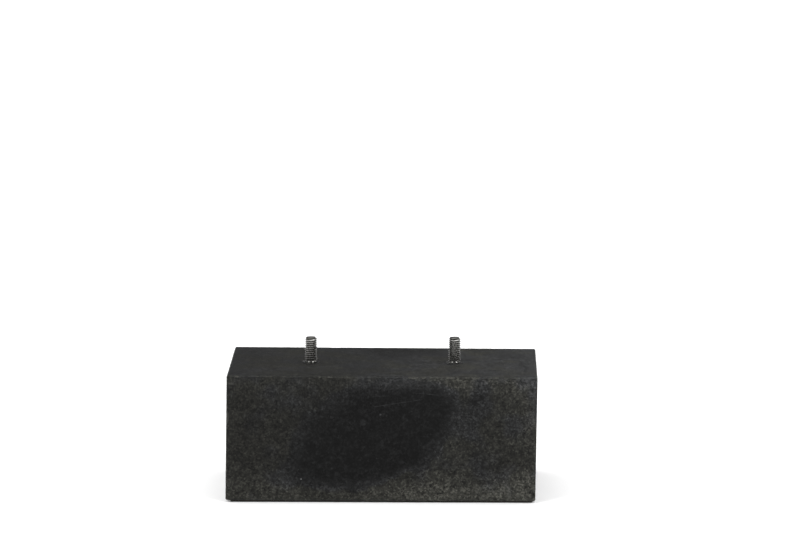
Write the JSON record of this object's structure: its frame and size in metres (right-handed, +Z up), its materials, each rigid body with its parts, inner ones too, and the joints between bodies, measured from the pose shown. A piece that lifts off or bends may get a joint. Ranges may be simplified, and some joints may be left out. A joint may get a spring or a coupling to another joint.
{
  "type": "display plinth",
  "caption": "Low rectangular stone display plinth with eased edges and a felt underside; threaded studs in its top face bolt down a statuette or bust.",
  "frame": {"origin": "middle of the felt's underside, on the surface that the plinth stands on", "axes": "+X to the plinth's right along its long side, +Y to the back, so the front face looks along -Y, and +Z up along the studs"},
  "size_m": [0.15, 0.08, 0.074],
  "materials": {
    "stone": "satin",
    "felt": "matte",
    "steel": "satin",
    "spring_steel": "satin"
  },
  "bodies": {
    "root": {"stone_block": "stone", "felt_base": "felt", "stud_left": "steel", "stud_right": "steel", "washer_left": "steel", "washer_right": "steel", "spring_washer_left": "spring_steel", "spring_washer_right": "spring_steel", "nut_left": "steel", "nut_right": "steel"}
  },
  "joints": []
}
